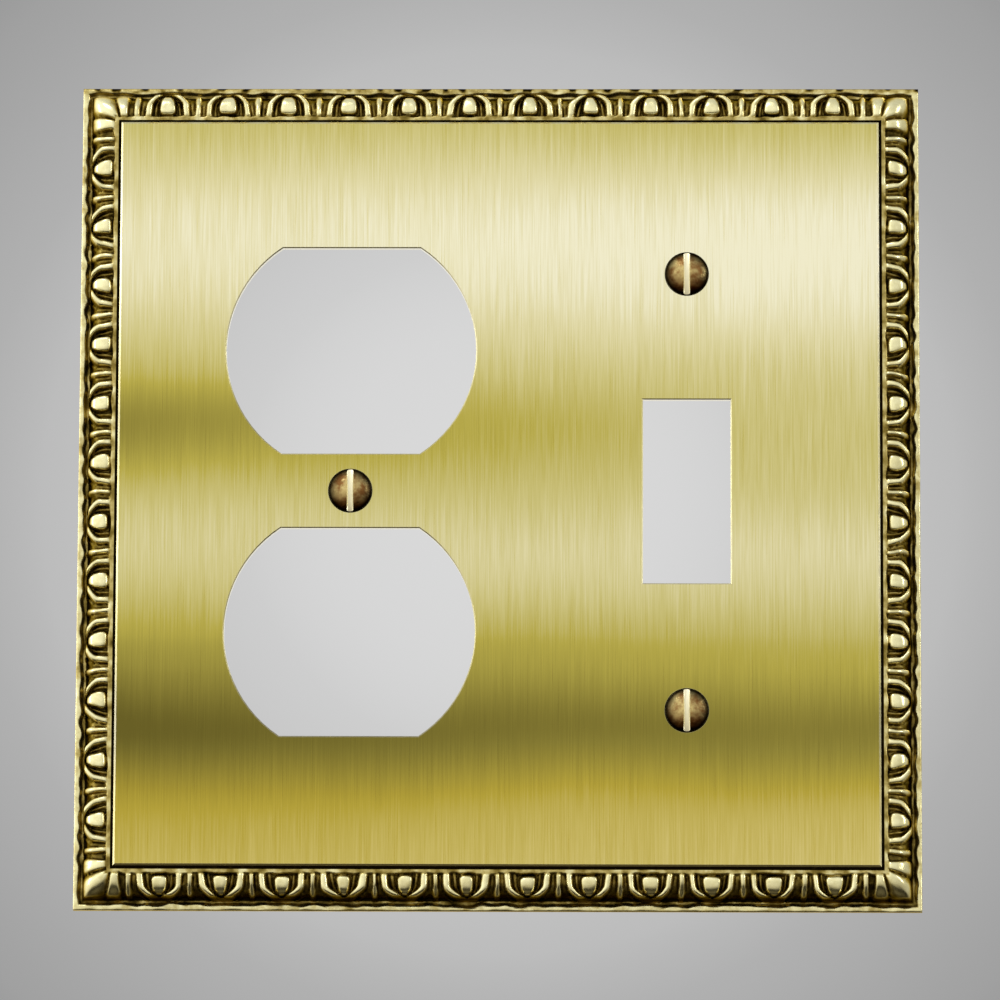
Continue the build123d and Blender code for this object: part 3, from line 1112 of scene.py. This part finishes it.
class WALLPLATE_OT_panel(bpy.types.Operator):
    """Brush the face panel"""

    bl_idname = "wallplate.panel"
    bl_label = "Brushed panel"

    def execute(self, context):
        panel = frame["nodes"]["face_panel"]
        panel.data.materials.clear()
        panel.data.materials.append(brushed_brass_material(context.scene.wallplate_panel, shared_effects()))
        return {"FINISHED"}


class WALLPLATE_OT_screws(bpy.types.Operator):
    """Turn and slot the three cover screws"""

    bl_idname = "wallplate.screws"
    bl_label = "Cover screws"

    def execute(self, context):
        settings = context.scene.wallplate_screws
        groups = shared_effects()
        plating = aged_brass_material(settings, groups)
        bright = slot_brass_material(groups)
        low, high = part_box("duplex_screw")
        crown = -low.y / MM + 0.03
        rows = screw_rows(-high.y / MM, crown)
        points = screw_points(rows, settings.pitch / MM)
        faces = grid_faces(len(rows), SCREW_SEGMENTS, closed=True)
        for node in SCREW_NODES:
            axis = screw_axis(node)
            moved = points * MM + np.array(axis)
            piece = new_piece(node + "_threaded", moved, faces, node)
            piece.data.materials.append(plating)
            piece.data.materials.append(bright)
            cut_slot(piece, axis, settings.slot_width / MM, HEAD_EDGE_HEIGHT + 0.1, crown + 1.0)
            finish_shading(piece, 40.0)
        return {"FINISHED"}


class WALLPLATE_OT_washers(bpy.types.Operator):
    """Round the edges of the fibre retaining washers"""

    bl_idname = "wallplate.washers"
    bl_label = "Retaining washers"

    def execute(self, context):
        material = fibre_material(shared_effects())
        for screw in SCREW_NODES:
            node = screw + "_washer"
            points, faces = lathe(washer_profile(node), 64)
            moved = points * MM + np.array(screw_axis(node))
            piece = new_piece(node + "_ring", moved, faces, node)
            piece.data.materials.append(material)
        return {"FINISHED"}


class WALLPLATE_OT_solder(bpy.types.Operator):
    """Run the solder beads that hold the panel on its ledge"""

    bl_idname = "wallplate.solder"
    bl_label = "Solder beads"

    def execute(self, context):
        points, faces = [], []
        reach_x = PLATE_WIDTH / MM / 2 - LEDGE_INNER_INSET
        reach_z = PLATE_HEIGHT / MM / 2 - LEDGE_INNER_INSET
        sides = (
            (Vector((0, 0, -reach_z)), Vector((1, 0, 0)), Vector((0, 0, 1))),
            (Vector((0, 0, reach_z)), Vector((-1, 0, 0)), Vector((0, 0, -1))),
            (Vector((-reach_x, 0, 0)), Vector((0, 0, -1)), Vector((1, 0, 0))),
            (Vector((reach_x, 0, 0)), Vector((0, 0, 1)), Vector((-1, 0, 0))),
        )
        for side, (edge, along, inwards) in enumerate(sides):
            for step in BEAD_PLACES:
                seed = int(side * 100 + step + 50)
                more, quads = solder_bead(edge + along * step, along, inwards, seed)
                faces += [[i + len(points) for i in face] for face in quads]
                points += more
        piece = new_piece("solder_beads", [p * MM for p in points], faces, "solder_tacks", 60.0)
        piece.data.materials.append(solder_material(shared_effects()))
        return {"FINISHED"}


class WALLPLATE_PT_parts(bpy.types.Panel):
    """Lists the plate's pieces"""

    bl_idname = "WALLPLATE_PT_parts"
    bl_label = "Wall Plate"
    bl_space_type = "VIEW_3D"
    bl_region_type = "UI"
    bl_category = "Wall Plate"

    def draw(self, context):
        for operator in OPERATORS:
            self.layout.operator(operator.bl_idname)


OPERATORS = (
    WALLPLATE_OT_stage,
    WALLPLATE_OT_border,
    WALLPLATE_OT_panel,
    WALLPLATE_OT_screws,
    WALLPLATE_OT_washers,
    WALLPLATE_OT_solder,
)
SETTINGS = {
    "wallplate_border": WallPlateBorderSettings,
    "wallplate_panel": WallPlatePanelSettings,
    "wallplate_screws": WallPlateScrewSettings,
    "wallplate_stage": WallPlateStageSettings,
}


def register():
    for cls in (*SETTINGS.values(), *OPERATORS, WALLPLATE_PT_parts):
        bpy.utils.register_class(cls)
    for name, settings in SETTINGS.items():
        setattr(bpy.types.Scene, name, bpy.props.PointerProperty(type=settings))


def unregister():
    for name in SETTINGS:
        delattr(bpy.types.Scene, name)
    for cls in (WALLPLATE_PT_parts, *reversed(OPERATORS), *SETTINGS.values()):
        bpy.utils.unregister_class(cls)


def main():
    register()
    bpy.ops.wallplate.stage()
    bpy.ops.wallplate.border()
    bpy.ops.wallplate.panel()
    bpy.ops.wallplate.screws()
    bpy.ops.wallplate.washers()
    bpy.ops.wallplate.solder()


if __name__ == "__main__":
    main()
